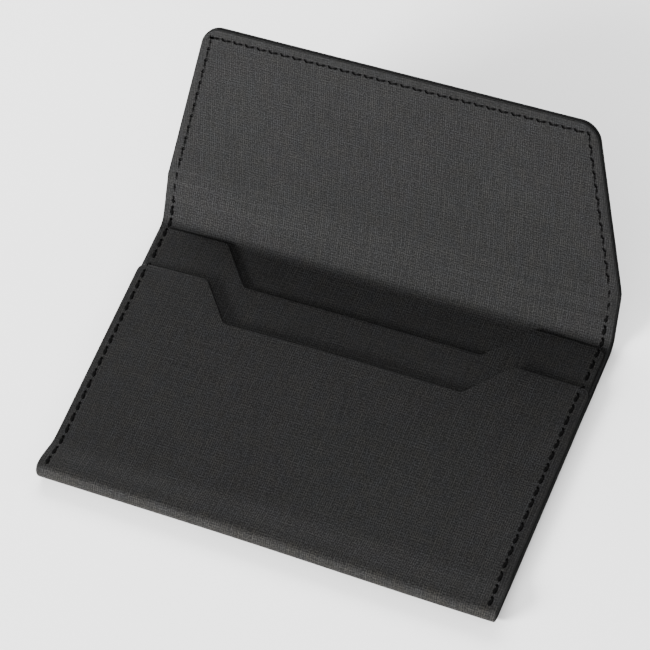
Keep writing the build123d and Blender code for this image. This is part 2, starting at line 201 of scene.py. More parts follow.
def fold_cover(x, s, h):
    """The cover's outer face lies at h = 0 and its inner face above it."""
    if s >= STACK_START:
        return fold_hull(x, s, h - HULL)
    if s >= FOLD_END:
        turn = (STACK_START - s) / FOLD_RADIUS
        r = FOLD_RADIUS - h
        spread = flared(x, STACK_START) - x
        y = STACK_START - r * sin(turn)
        y += (skewed(x, STACK_START) - STACK_START) * ease(2 * turn / pi)
        return x + spread * ease(turn / pi), y, FOLD_RADIUS - r * cos(turn)
    y = STACK_START + FOLD_END - s
    slope = (pocket_face(y + 0.05) - pocket_face(y - 0.05)) / 0.1
    size = hypot(1, slope)
    lift = mouth(x, y, MOUTH, POCKET_TOP) - droop(x, y)
    return flared(x, y), skewed(x, y) + h * slope / size, pocket_face(y) + lift - h / size


def fold_backing(x, y, h):
    return x, y, DIVIDER_FACE + h + mouth(x, y, MOUTH, POCKET_TOP)


def fold_divider(x, y, h):
    return x, y, HULL + h + mouth(x, y, DIVIDER_MOUTH, DIVIDER_TOP)


def seam_level(s):
    """Height over the lining face of whatever the side seam's needle thread runs on."""
    level = pocket_face(s) - HULL
    level -= (POCKET_FACE - DIVIDER_FACE) * ease((s - POCKET_TOP + 0.1) / 0.5)
    level -= DIVIDER * ease((s - DIVIDER_TOP + 0.1) / 0.5)
    return level


def fold_side_seam(x, s, h):
    if s > DIVIDER_TOP + 1:
        return fold_hull(x, s, h)
    return flared(x, s), skewed(x, s), HULL + seam_level(s) + h


# ---- bench work -------------------------------------------------------------------------
def clear_bench():
    if bpy.context.object and bpy.context.object.mode != "OBJECT":
        bpy.ops.object.mode_set(mode="OBJECT")
    bpy.ops.object.select_all(action="DESELECT")


def take(piece, mode="OBJECT"):
    clear_bench()
    bpy.context.view_layer.objects.active = piece
    piece.select_set(True)
    if mode == "EDIT":
        bpy.ops.object.mode_set(mode="EDIT")
        bpy.ops.mesh.select_mode(type="VERT")
        bpy.ops.mesh.select_all(action="SELECT")


def pick(kind, wanted):
    """Select the vertices, edges or faces that pass a test, and nothing else."""
    bpy.ops.mesh.select_mode(type=kind)
    bpy.ops.mesh.select_all(action="DESELECT")
    skin = bmesh.from_edit_mesh(bpy.context.object.data)
    items = {"VERT": skin.verts, "EDGE": skin.edges, "FACE": skin.faces}[kind]
    found = 0
    for item in items:
        if wanted(item):
            item.select_set(True)
            found += 1
    skin.select_flush_mode()
    bmesh.update_edit_mesh(bpy.context.object.data)
    return found


def middle(edge):
    return (edge.verts[0].co + edge.verts[1].co) / 2


def near(a, b):
    return abs(a - b) < 0.01


def blank(name, half_width, start, end):
    """A flat rectangle of sheet, left in edit mode."""
    clear_bench()
    bpy.ops.mesh.primitive_plane_add(size=1)
    sheet = bpy.context.object
    sheet.name = name
    bpy.ops.object.mode_set(mode="EDIT")
    bpy.ops.transform.resize(value=(2 * half_width, end - start, 1))
    bpy.ops.transform.translate(value=(0, (start + end) / 2, 0))
    return sheet


def score(rows=(), columns=()):
    """Cut lines across and along the sheet, so that it can bend there."""
    for axis, places in ((1, rows), (0, columns)):
        for place in places:
            bpy.ops.mesh.select_mode(type="VERT")
            bpy.ops.mesh.select_all(action="SELECT")
            normal = (0, 1, 0) if axis else (1, 0, 0)
            point = tuple(place * n for n in normal)
            bpy.ops.mesh.bisect(plane_co=point, plane_no=normal, threshold=0.001)


def steps(start, end, size):
    count = max(1, round(abs(end - start) / size))
    return [start + (end - start) * i / count for i in range(1, count)]


def both_sides(places):
    return sorted({-p for p in places} | set(places))


def round_corners(wanted, reach, segments=8):
    pick("VERT", wanted)
    bpy.ops.mesh.bevel(offset=reach, segments=segments, affect="VERTICES", profile=0.5)


def notched(floor_y, rise):
    """Raise the tabs either side of the notch out of a blank that ends at the notch floor."""
    half_floor, half_top = NOTCH_FLOOR / 2, NOTCH_TOP / 2
    score(columns=(-half_floor, half_floor))
    pick("EDGE", lambda e: all(near(v.co.y, floor_y) for v in e.verts)
         and abs(middle(e).x) > half_floor)
    bpy.ops.mesh.extrude_edges_move(TRANSFORM_OT_translate={"value": (0, rise, 0)})
    top_y = floor_y + rise
    for side in (-1, 1):
        pick("VERT", lambda v: near(v.co.y, top_y) and near(v.co.x, side * half_floor))
        bpy.ops.transform.translate(value=(side * (half_top - half_floor), 0, 0))
    bpy.ops.mesh.select_mode(type="FACE")
    bpy.ops.mesh.select_all(action="SELECT")
    bpy.ops.mesh.dissolve_faces()
    bpy.ops.mesh.dissolve_limited(angle_limit=radians(1))
    slope = atan2(NOTCH_DEPTH, half_top - half_floor)
    reach = NOTCH_RADIUS * tan(slope / 2)
    round_corners(lambda v: near(v.co.y, top_y) and near(abs(v.co.x), half_top), reach)
    round_corners(lambda v: near(v.co.y, floor_y) and near(abs(v.co.x), half_floor), reach)
    side_x = max(v.co.x for v in bmesh.from_edit_mesh(bpy.context.object.data).verts)
    round_corners(lambda v: near(v.co.y, top_y) and near(abs(v.co.x), side_x), POCKET_CORNER)


def thicken(sheet, thickness, above=False):
    """Give the sheet its thickness, above or below the bench face."""
    take(sheet, "EDIT")
    bpy.ops.mesh.normals_make_consistent(inside=False)
    if bmesh.from_edit_mesh(sheet.data).faces[:][0].normal.z < 0:
        bpy.ops.mesh.flip_normals()
    bpy.ops.object.mode_set(mode="OBJECT")
    wall = sheet.modifiers.new("wall", "SOLIDIFY")
    wall.thickness = thickness
    wall.offset = 1 if above else -1
    wall.use_even_offset = True
    take(sheet)
    bpy.ops.object.modifier_apply(modifier="wall")


def ease_rim(sheet, radius, square_at=()):
    """Round the sheet's cut edges, but not where it goes on into its other half."""
    take(sheet, "EDIT")

    def rim(edge):
        if len(edge.link_faces) != 2 or edge.calc_face_angle(0) < radians(60):
            return False
        a, b = (v.co for v in edge.verts)
        upright = near(a.x, b.x) and near(a.y, b.y)
        return not upright and not any(near(a.y, s) and near(b.y, s) for s in square_at)

    pick("EDGE", rim)
    bpy.ops.mesh.bevel(offset=radius, segments=3, affect="EDGES", profile=0.5)


def copies(model, places, name):
    """Copies of one small model, each with its own mesh, joined into one piece.

    places lists (x, y, z, turn about the sheet's normal).
    """
    made = []
    for x, y, z, turn in places:
        one = bpy.data.objects.new(name, model.data.copy())
        bpy.context.collection.objects.link(one)
        one.data.transform(Matrix.Translation((x, y, z)) @ Matrix.Rotation(turn, 4, "Z"))
        made.append(one)
    clear_bench()
    for one in made:
        one.select_set(True)
    bpy.context.view_layer.objects.active = made[0]
    bpy.ops.object.join()
    made[0].name = name
    return made[0]


def discard(piece):
    bpy.data.objects.remove(piece, do_unlink=True)


def cut_out(sheet, cutter):
    """Take the cutter's shape out of the sheet."""
    bite = sheet.modifiers.new("bite", "BOOLEAN")
    bite.operation = "DIFFERENCE"
    bite.solver = "MANIFOLD"
    bite.object = cutter
    take(sheet)
    bpy.ops.object.modifier_apply(modifier="bite")
    discard(cutter)


def mark_flat(piece, face=0.0, up=1):
    """Keep each point's place on the flat sheet, for the grain, and its depth below the face, for
    the painted highlight on rims and dent edges and the darkening below them.
    """
    layer = piece.data.uv_layers.get("flat") or piece.data.uv_layers.new(name="flat")
    depths = piece.data.uv_layers.new(name="depth")
    for loop in piece.data.loops:
        x, y, z = piece.data.vertices[loop.vertex_index].co
        layer.data[loop.index].uv = (x / 100, y / 100)
        depths.data[loop.index].uv = ((face - z) * up, 0)
    piece.data.uv_layers.active = layer


def fold_up(piece, fold):
    for vertex in piece.data.vertices:
        vertex.co = [MM * value for value in fold(*vertex.co)]
    piece.data.update()


def face_out(piece):
    """Turn all faces of a closed piece outward."""
    take(piece, "EDIT")
    bpy.ops.mesh.normals_make_consistent(inside=False)
    if bmesh.from_edit_mesh(piece.data).calc_volume(signed=True) < 0:
        bpy.ops.mesh.flip_normals()
    bpy.ops.object.mode_set(mode="OBJECT")


def smooth(piece, angle=32):
    face_out(piece)
    take(piece)
    bpy.ops.object.shade_smooth_by_angle(angle=radians(angle))


# ---- seam -------------------------------------------------------------------------------
def along_run(start, end, lean):
    """Middle, turn, both holes and lean of every stitch of a straight run."""
    length = hypot(end[0] - start[0], end[1] - start[1])
    count = max(1, round(length / STITCH))
    turn = atan2(end[1] - start[1], end[0] - start[0]) - pi / 2
    holes = [
        (start[0] + (end[0] - start[0]) * i / count, start[1] + (end[1] - start[1]) * i / count)
        for i in range(count + 1)
    ]
    return [
        ((a[0] + b[0]) / 2, (a[1] + b[1]) / 2, turn, a, b, lean) for a, b in zip(holes, holes[1:])
    ]


def flap_seam_x(y):
    return HALF - FLAP_LEAN * y + EDGE_PAINT - SEAM_INSET * hypot(1, FLAP_LEAN)


first_hole = BOTTOM + SEAM_START
last_hole = CREASE - STITCH / 2
spine_first = CREASE + STITCH / 2
spine_last = UPPER_CREASE - STITCH / 2
flap_first = UPPER_CREASE + STITCH / 2
flap_last = TIP - SEAM_INSET
corner_x = flap_seam_x(FLAP_LENGTH - SEAM_INSET)

body_stitches, upper_stitches = [], []
for side in (-1, 1):
    crossing_x = flap_seam_x(STITCH / 2)
    runs = [
        ((side * SEAM_X, first_hole), (side * SEAM_X, last_hole)),
        ((side * SEAM_X, last_hole), (side * SEAM_X, spine_first)),
        ((side * SEAM_X, spine_first), (side * SEAM_X, spine_last)),
        ((side * SEAM_X, spine_last), (side * crossing_x, flap_first)),
        ((side * crossing_x, flap_first), (side * corner_x, flap_last)),
    ]
    for run in runs:
        for stitch in along_run(*run, side):
            (body_stitches if stitch[1] < MID_SPINE + 0.5 else upper_stitches).append(stitch)
for stitch in along_run((corner_x, flap_last), (-corner_x, flap_last), -1):
    upper_stitches.append(stitch)

THREAD_SLANT = radians(-8)  # of a stitch to its seam, times its lean
SLIT_SLANT = radians(27)  # of a needle slit to its seam


def stitch_places(stitches, z):
    return [(x, y, z, turn + lean * THREAD_SLANT) for x, y, turn, a, b, lean in stitches]


def slit_places(stitches, z, reach):
    """The slit at each stitch's head, reach from its middle.

    Where the flap bends there is none, so that its board can't come through the lining.
    """
    places = []
    for x, y, turn, a, b, lean in stitches:
        length = hypot(b[0] - a[0], b[1] - a[1])
        along = reach / length
        spot = (x + (b[0] - a[0]) * along, y + (b[1] - a[1]) * along)
        if abs(spot[1] - UPPER_CREASE) > UPPER_REACH:
            places.append((*spot, z, turn + lean * SLIT_SLANT))
    return places


def make_stitch(radius, swell, tail):
    """One stitch of thread: a full head that dives at its far end, and a thinner tail.

    swell is the head's growth in width, tail where the tail dives into the sheet.
    """
    clear_bench()
    bpy.ops.mesh.primitive_cylinder_add(
        vertices=8, radius=radius, depth=2.6, end_fill_type="TRIFAN"
    )
    stitch = bpy.context.object
    bpy.ops.object.mode_set(mode="EDIT")
    bpy.ops.mesh.select_all(action="SELECT")
    bpy.ops.transform.rotate(
        value=pi / 2, orient_axis="X", orient_type="GLOBAL", center_override=(0, 0, 0)
    )
    score(rows=(-1.05, -0.75, -0.4, 0.0, 0.4, 0.75, 1.05))
    bpy.ops.object.mode_set(mode="OBJECT")
    for vertex in stitch.data.vertices:
        x, y, z = vertex.co
        head = ease((y + 0.1) / 0.7)
        section = (1 + swell * head) * (1 + 0.15 * cos(2 * (atan2(z, x) - y * 1.6)))
        dive = 0.5 * ease((y - 0.8) / 0.5) + 0.45 * ease((-y - tail) / 0.5)
        vertex.co = (x * section, y, z * (0.6 + 0.3 * section) * 0.7 - dive)
    return stitch


def make_cutter(name, size, rings=6, segments=12):
    clear_bench()
    bpy.ops.mesh.primitive_uv_sphere_add(segments=segments, ring_count=rings, radius=1)
    cutter = bpy.context.object
    cutter.name = name
    bpy.ops.object.mode_set(mode="EDIT")
    bpy.ops.mesh.select_all(action="SELECT")
    bpy.ops.transform.resize(value=size)
    bpy.ops.object.mode_set(mode="OBJECT")
    return cutter


thread_model = make_stitch(0.29, 0.3, 0.55)
flap_thread_model = make_stitch(0.17, 1.1, 0.1)
dent_model = make_cutter("dent", (0.44, 0.85, 0.3))
flap_dent_model = make_cutter("flap_dent", (0.27, 0.95, 0.2))
slit_model = make_cutter("slit", (0.36, 0.42, 0.36), rings=8)
flap_slit_model = make_cutter("flap_slit", (0.36, 0.6, 0.36), rings=8)
BODY_MARKS = (dent_model, slit_model, 1.1)
FLAP_MARKS = (flap_dent_model, flap_slit_model, STITCH / 2)


CLEAR = 0.017  # keeps the cutters' widest ring out of the sheet's face


def sew_marks(sheet, stitches, z=0.0, up=1, marks=BODY_MARKS):
    """Press the stitches' dents and pierce their slits in the sheet's face at height z."""
    z += up * CLEAR
    dent, slit, reach = marks
    if stitches:
        face_out(sheet)
        cut_out(sheet, copies(dent, stitch_places(stitches, z), "dents"))
        cut_out(sheet, copies(slit, slit_places(stitches, z, reach), "slits"))
        take(sheet, "EDIT")
        bpy.ops.mesh.remove_doubles(threshold=0.004)
        bpy.ops.mesh.dissolve_degenerate(threshold=0.001)
        bpy.ops.object.mode_set(mode="OBJECT")


# ---- materials --------------------------------------------------------------------------
class Wire:
    """A shader socket that can be used in arithmetic."""

    def __init__(self, tree, socket):
        self.tree, self.socket = tree, socket

    def node(self, kind, inputs=(), output=0, **settings):
        return add_node(self.tree, kind, inputs, output, **settings)

    def math(self, operation, *others):
        inputs = [(i, value) for i, value in enumerate((self, *others))]
        return self.node("ShaderNodeMath", inputs, operation=operation)

    def __add__(self, other):
        return self.math("ADD", other)

    __radd__ = __add__

    def __mul__(self, other):
        return self.math("MULTIPLY", other)

    __rmul__ = __mul__

    def __sub__(self, other):
        return self.math("SUBTRACT", other)

    def __rsub__(self, other):
        return (self * -1.0) + other

    def clamp(self):
        return self.node("ShaderNodeClamp", [(0, self)])


def add_node(tree, kind, inputs=(), output=0, **settings):
    """Any node: its settings first, then the values or links of its sockets."""
    node = tree.nodes.new(kind)
    for name, value in settings.items():
        setattr(node, name, value)
    for key, value in inputs:
        if isinstance(value, Wire):
            tree.links.new(value.socket, node.inputs[key])
        else:
            node.inputs[key].default_value = value
    return Wire(tree, node.outputs[output])


def new_finish(name):
    material = bpy.data.materials.new(name)
    material.use_nodes = True
    tree = material.node_tree
    shader = next(n for n in tree.nodes if n.type == "BSDF_PRINCIPLED")
    return material, tree, shader


def feed(tree, shader, **values):
    """Set or link the shader's sockets, named with _ for a space."""
    for key, value in values.items():
        socket = shader.inputs[key.replace("_", " ")]
        if isinstance(value, Wire):
            tree.links.new(value.socket, socket)
        else:
            socket.default_value = value


def grey(value):
    return (value, value, value, 1)


def between(tree, factor, low, high):
    return add_node(
        tree, "ShaderNodeMix",
        [("Factor", factor), (6, low), (7, high)], output=2, data_type="RGBA",
    )


def noise(tree, vector, scale, detail=2.0, rough=0.5):
    return add_node(
        tree, "ShaderNodeTexNoise",
        [("Vector", vector), ("Scale", scale), ("Detail", detail), ("Roughness", rough)],
        noise_dimensions="3D",
    )


def flat_place(tree):
    """Place on the flat sheet in millimetres."""
    uv = add_node(tree, "ShaderNodeUVMap", uv_map="flat")
    return scaled(tree, uv, (100, 100, 100))


def scaled(tree, vector, by):
    return add_node(tree, "ShaderNodeVectorMath", [(0, vector), (1, by)], operation="MULTIPLY")


def split(tree, vector):
    return [add_node(tree, "ShaderNodeSeparateXYZ", [(0, vector)], output=i) for i in range(2)]


FOLD_HIGHLIGHT_REACH = 4.4  # how far each way from the fold's middle the cover's painted highlight reaches
WARP_PITCH, WEFT_PITCH = 0.46, 0.54


def linen_finish(name, dark, light, fold_highlight_at=None):
    """Black sheet embossed with a linen weave: warp, weft, slubs both ways, grit and flecks, with
    painted highlights on its rims and dent edges and, for the cover, round the bottom fold.
    """
    material, tree, shader = new_finish(name)
    place = flat_place(tree)
    x, y = split(tree, place)
    depth = split(tree, add_node(tree, "ShaderNodeUVMap", uv_map="depth"))[0]
    # painted highlight: just below the face, the rounded rims and the stitch dents' edges are
    # coloured paler and smoother
    rim = ((depth - 0.01) * 20).clamp() * (1 - ((depth - 0.07) * 16).clamp())
    # darker below the rims: the cut edges are dyed black, and the walls and floors of the stitch
    # dents and needle slits get painted shade
    cut = ((depth - 0.08) * 14).clamp()
    waver = noise(tree, scaled(tree, place, (0.5, 0.12, 1)), 1.0) - 0.5
    waver_y = noise(tree, scaled(tree, place, (0.12, 0.5, 1)), 1.3) - 0.5
    warp = ((x + waver * 0.5) * (2 * pi / WARP_PITCH)).math("COSINE")
    weft = ((y + waver_y * 0.5) * (2 * pi / WEFT_PITCH)).math("COSINE")
    warp_slub = noise(tree, scaled(tree, place, (2.3, 0.16, 1)), 1.0, detail=3)
    weft_slub = noise(tree, scaled(tree, place, (0.15, 2.1, 1)), 1.0, detail=3)
    warp_part = warp * ((warp_slub - 0.30) * 2.6).clamp()
    weft_part = weft * ((weft_slub - 0.32) * 2.6).clamp()
    grit = (noise(tree, scaled(tree, place, (3.4, 3.2, 1)), 1.0, detail=2) - 0.5) * 2.0
    threads = (warp_slub - 0.5) * 0.45 + (weft_slub - 0.5) * 0.2
    cloud = noise(tree, scaled(tree, place, (0.05, 0.05, 1)), 1.0) - 0.5
    speck = noise(tree, scaled(tree, place, (2.2, 2.2, 1)), 1.0, detail=0)
    fleck = ((speck - 0.86) * 12.0).clamp()
    weave = (warp_part * 0.38 + weft_part * 0.29 + grit * 1.35 + threads) * (1 - rim * 0.7)
    tone = (weave + 0.34 + cloud * 0.12 + fleck * 1.2 + rim * 0.3).clamp() * (1 - cut * 0.92)
    hue = noise(tree, scaled(tree, place, (0.35, 0.3, 1)), 1.0, detail=4)
    warmth = ((hue - 0.5) * 3 + 0.5).clamp()
    tint = between(tree, warmth, (0.97, 0.99, 1.05, 1), (1.05, 1.01, 0.94, 1))
    plain = between(tree, tone, grey(dark), grey(light))
    colour = scaled(tree, plain, tint)
    if fold_highlight_at is not None:
        # painted highlight: paler and warmer round the bottom fold, standing in for light bounced
        # off the table
        fold_highlight = (1 - (y - fold_highlight_at).math("ABSOLUTE") * (1 / FOLD_HIGHLIGHT_REACH)).clamp()
        gain = between(tree, fold_highlight, (1, 1, 1, 1), (2.3, 2.2, 2.02, 1))
        colour = scaled(tree, colour, gain)
    relief = weave * 0.5 + 0.5
    normal = add_node(
        tree, "ShaderNodeBump",
        [("Height", relief), ("Strength", 0.6), ("Distance", 0.05 * MM)],
    )
    feed(tree, shader, Base_Color=colour, Roughness=0.68 - tone * 0.16 - rim * 0.15, Normal=normal,
         Specular_IOR_Level=0.09)
    return material


def edge_paint_finish():
    material, tree, shader = new_finish("black_edge_paint")
    spot = add_node(tree, "ShaderNodeTexCoord", output=3)
    uneven = noise(tree, spot, 900, detail=3)
    colour = between(tree, uneven, grey(0.0004), grey(0.0016))
    normal = add_node(
        tree, "ShaderNodeBump",
        [("Height", uneven), ("Strength", 0.35), ("Distance", 0.08 * MM)],
    )
    feed(tree, shader, Base_Color=colour, Roughness=uneven * 0.2 + 0.55, Normal=normal,
         Specular_IOR_Level=0.03)
    return material


def thread_finish():
    """Twisted black polyester thread."""
    material, tree, shader = new_finish("black_thread")
    uv = add_node(tree, "ShaderNodeUVMap", uv_map="UVMap")
    u, v = split(tree, uv)
    spot = add_node(tree, "ShaderNodeTexCoord", output=3)
    fuzz = noise(tree, spot, 6000, detail=2)
    ply = ((u * 2.0 + v * 5.0) * (2 * pi)).math("SINE") * 0.5 + 0.5
    fibre = ((u * 14.0 - v * 12.0) * (2 * pi)).math("SINE") * 0.5 + 0.5
    height = ply * 0.7 + fibre * 0.3 + fuzz * 0.3
    colour = between(tree, (height * 0.8).clamp(), grey(0.0003), grey(0.002))
    normal = add_node(
        tree, "ShaderNodeBump", [("Height", height), ("Strength", 0.7), ("Distance", 0.05 * MM)]
    )
    feed(tree, shader, Base_Color=colour, Roughness=0.85 - fibre * 0.15, Normal=normal,
         Specular_IOR_Level=0.03)
    return material


def board_finish():
    material, tree, shader = new_finish("black_board")
    spot = add_node(tree, "ShaderNodeTexCoord", output=3)
    pulp = noise(tree, scaled(tree, spot, (700, 2400, 1500)), 1.0, detail=4)
    colour = between(tree, pulp, (0.003, 0.003, 0.003, 1), (0.009, 0.0088, 0.0085, 1))
    normal = add_node(
        tree, "ShaderNodeBump", [("Height", pulp), ("Strength", 0.4), ("Distance", 0.05 * MM)]
    )
    feed(tree, shader, Base_Color=colour, Roughness=pulp * 0.2 + 0.75, Normal=normal)
    return material


def metal_finish(name, dark, light, rough, grain):
    material, tree, shader = new_finish(name)
    spot = add_node(tree, "ShaderNodeTexCoord", output=3)
    brushed = noise(tree, scaled(tree, spot, grain), 1.0, detail=3)
    colour = between(tree, brushed, grey(dark), grey(light))
    normal = add_node(
        tree, "ShaderNodeBump", [("Height", brushed), ("Strength", 0.2), ("Distance", 0.02 * MM)]
    )
    feed(tree, shader, Base_Color=colour, Roughness=brushed * 0.2 + rough, Metallic=1.0,
         Normal=normal)
    return material


# the cover's finish carries a painted highlight round the bottom fold
cover_linen = linen_finish("cover_linen", 0.0004, 0.0128, fold_highlight_at=(STACK_START + FOLD_END) / 2)
lining_linen = linen_finish("lining_linen", 0.0004, 0.0128)
edge_paint = edge_paint_finish()
thread = thread_finish()
board = board_finish()
ferrite = metal_finish("magnet_plating", 0.25, 0.4, 0.35, (900, 900, 900))
steel = metal_finish("keeper_steel", 0.45, 0.6, 0.25, (300, 9000, 900))


def finish_piece(piece, material, slot, *nodes):
    piece.data.materials.clear()
    piece.data.materials.append(material)
    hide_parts(*nodes)


def on_axis(crease, offset):
    """Point of the lining's face offset from a crease, in metres."""
    y, z, _ = hull_at(crease + offset)
    return (0, y * MM, z * MM)


def bend_lower(piece):
    on_axis(CREASE, -LOWER_REACH)
    on_axis(CREASE, LOWER_REACH)
    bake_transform(piece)


def bend_upper(piece):
    on_axis(UPPER_CREASE, -UPPER_REACH)
    on_axis(UPPER_CREASE, UPPER_REACH)
    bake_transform(piece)


# Lines along which the sheets are scored: close together at the creases and at the seams.
LOWER_SCORED, UPPER_SCORED = 2.6, 3.0  # how far each way from its crease
LOWER_ROWS = steps(CREASE - LOWER_SCORED, CREASE + LOWER_SCORED, 0.26)
UPPER_ROWS = steps(UPPER_CREASE - UPPER_SCORED, UPPER_CREASE + UPPER_SCORED, 0.3)
COLUMNS = both_sides([0.0, 48.9, 50.5, 51.1, 51.6, 52.1] + steps(0, 48, 3.0))


def pad_lines(middle_y, pad):
    half_x, half_y = pad
    soft = [PAD_SOFTNESS * share for share in (-1, -2 / 3, -1 / 3, 0)]
    rows = [middle_y + side * (half_y + d) for side in (-1, 1) for d in soft]
    columns = [side * (half_x + d) for side in (-1, 1) for d in soft]
    return rows, columns


def raise_pad(piece, middle_y, pad, rise, below=HULL):
    """Lift the sheet, where it lies lower than below, in a low pad with soft sides."""
    half_x, half_y = pad
    for vertex in piece.data.vertices:
        x, y, z = vertex.co
        if z < below:
            inside = min(half_x - abs(x), half_y - abs(y - middle_y))
            vertex.co.z += rise * ease(inside / PAD_SOFTNESS)


COVER_RIM = 0.29

# ---- outer cover, from the front panel's top round the fold to the middle of the spine ----
outer_cover = blank("outer_cover", HALF, COVER_START + NOTCH_DEPTH, MID_SPINE)
notched(COVER_START + NOTCH_DEPTH, -NOTCH_DEPTH)
keeper_y = on_cover(BOTTOM + KEEPER_PLACE)
pad_rows, pad_columns = pad_lines(keeper_y, KEEPER_PAD)
thicken(outer_cover, COVER, above=True)
ease_rim(outer_cover, COVER_RIM, square_at=(MID_SPINE,))
score(
    rows=steps(COVER_START, on_cover(FLAT_START), 2.0)
    + [on_cover(FLAT_START)] + steps(on_cover(FLAT_START), FOLD_END, 0.6)
    + [FOLD_END] + steps(FOLD_END, STACK_START, 0.36) + [STACK_START]
    + steps(STACK_START, CREASE - LOWER_SCORED, 4.0) + [CREASE - LOWER_SCORED]
    + LOWER_ROWS + pad_rows,
    columns=COLUMNS + pad_columns,
)
bpy.ops.object.mode_set(mode="OBJECT")
raise_pad(outer_cover, keeper_y, KEEPER_PAD, -PAD_RISE, below=COVER / 2)
front_stitches = [
    (x, on_cover(y), pi - turn, (a[0], on_cover(a[1])), (b[0], on_cover(b[1])), -lean)
    for x, y, turn, a, b, lean in body_stitches if y < POCKET_TOP - 0.6
]
sew_marks(outer_cover, front_stitches, up=-1)
sew_marks(outer_cover, body_stitches, up=-1)
mark_flat(outer_cover, 0.0, -1)
fold_up(outer_cover, fold_cover)
smooth(outer_cover)
finish_piece(
    outer_cover, cover_linen, "cover", "pocket_cover", "bottom_fold", "back_cover", "spine_cover"
)
bend_lower(outer_cover)


# ---- outer cover of the flap ---------------------------------------------------------------
def flap_blank(name, half_width, tip_half, tip_y, corner):
    sheet = blank(name, half_width, MID_SPINE, UPPER_CREASE)
    pick("EDGE", lambda e: all(near(v.co.y, UPPER_CREASE) for v in e.verts))
    bpy.ops.mesh.extrude_edges_move(TRANSFORM_OT_translate={"value": (0, tip_y - UPPER_CREASE, 0)})
    pick("VERT", lambda v: near(v.co.y, tip_y))
    bpy.ops.transform.resize(value=(tip_half / half_width, 1, 1))
    lean = atan2(half_width - tip_half, tip_y - UPPER_CREASE)
    round_corners(lambda v: near(v.co.y, tip_y), corner / tan((pi / 2 + lean) / 2), segments=12)
    return sheet


FLAP_START = UPPER_CREASE + UPPER_SCORED
FLAP_ROWS = UPPER_ROWS + [FLAP_START] + steps(FLAP_START, TIP, 2.0)
FLAP_SHEET = (HALF, TIP_HALF, TIP - EDGE_PAINT, FLAP_CORNER_RADIUS - EDGE_PAINT)

flap_outside = flap_blank("flap_outer_cover", *FLAP_SHEET)
thicken(flap_outside, COVER, above=True)
ease_rim(flap_outside, COVER_RIM, square_at=(MID_SPINE,))
score(rows=FLAP_ROWS)
bpy.ops.object.mode_set(mode="OBJECT")
sew_marks(flap_outside, upper_stitches, up=-1, marks=FLAP_MARKS)
mark_flat(flap_outside, 0.0, -1)
fold_up(flap_outside, fold_cover)
smooth(flap_outside)
finish_piece(flap_outside, cover_linen, "cover", "flap_cover")
bend_upper(flap_outside)

# ---- lining: back and lower half of the spine, then the flap --------------------------------
back_liner = blank("lining_sheet", HALF, STACK_START + 1.0, MID_SPINE)
thicken(back_liner, LINING)
ease_rim(back_liner, 0.3, square_at=(MID_SPINE,))
score(
    rows=steps(STACK_START + 1.0, CREASE - LOWER_SCORED, 4.0)
    + [CREASE - LOWER_SCORED] + LOWER_ROWS,
    columns=COLUMNS,
)
bpy.ops.object.mode_set(mode="OBJECT")
sew_marks(back_liner, [s for s in body_stitches if s[1] > DIVIDER_TOP])
mark_flat(back_liner)
fold_up(back_liner, fold_hull)
smooth(back_liner)
finish_piece(back_liner, lining_linen, "lining", "back_lining", "spine_lining")
bend_lower(back_liner)

flap_liner = flap_blank("flap_lining_sheet", *FLAP_SHEET)
magnet_y = UPPER_CREASE + MAGNET_PLACE
pad_rows, pad_columns = pad_lines(magnet_y, MAGNET_PAD)
thicken(flap_liner, LINING)
ease_rim(flap_liner, 0.36, square_at=(MID_SPINE,))
score(rows=FLAP_ROWS + pad_rows, columns=pad_columns)
bpy.ops.object.mode_set(mode="OBJECT")
raise_pad(flap_liner, magnet_y, MAGNET_PAD, PAD_RISE)
sew_marks(flap_liner, upper_stitches, marks=FLAP_MARKS)
mark_flat(flap_liner)
fold_up(flap_liner, fold_hull)
smooth(flap_liner)
finish_piece(flap_liner, lining_linen, "lining", "flap_lining")
bend_upper(flap_liner)

# ---- second pocket panel and the front panel's backing --------------------------------------
side_x = HALF - DIVIDER_SIDE_INSET
divider_start = BOTTOM + DIVIDER_START
card_divider = blank("card_divider", side_x, divider_start, DIVIDER_TOP - NOTCH_DEPTH)
notched(DIVIDER_TOP - NOTCH_DEPTH, NOTCH_DEPTH)
thicken(card_divider, DIVIDER, above=True)
ease_rim(card_divider, 0.14)
score(rows=steps(divider_start, DIVIDER_TOP, 2.0), columns=COLUMNS)
bpy.ops.object.mode_set(mode="OBJECT")
between_tops = [s for s in body_stitches if POCKET_TOP < s[1] < DIVIDER_TOP]
sew_marks(card_divider, between_tops, z=DIVIDER)
mark_flat(card_divider, DIVIDER)
fold_up(card_divider, fold_divider)
smooth(card_divider)
finish_piece(card_divider, cover_linen, "cover", "divider_panel")
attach(card_divider, "case_body")

pocket_backing = blank("pocket_backing", HALF, FLAT_START, POCKET_TOP - NOTCH_DEPTH)
notched(POCKET_TOP - NOTCH_DEPTH, NOTCH_DEPTH)
thicken(pocket_backing, POCKET_LINING, above=True)
ease_rim(pocket_backing, 0.06)
score(rows=steps(FLAT_START, POCKET_TOP, 2.0), columns=COLUMNS)
bpy.ops.object.mode_set(mode="OBJECT")
mark_flat(pocket_backing, 0.0, -1)
fold_up(pocket_backing, fold_backing)
smooth(pocket_backing)
finish_piece(pocket_backing, lining_linen, "lining", "pocket_lining")
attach(pocket_backing, "case_body")

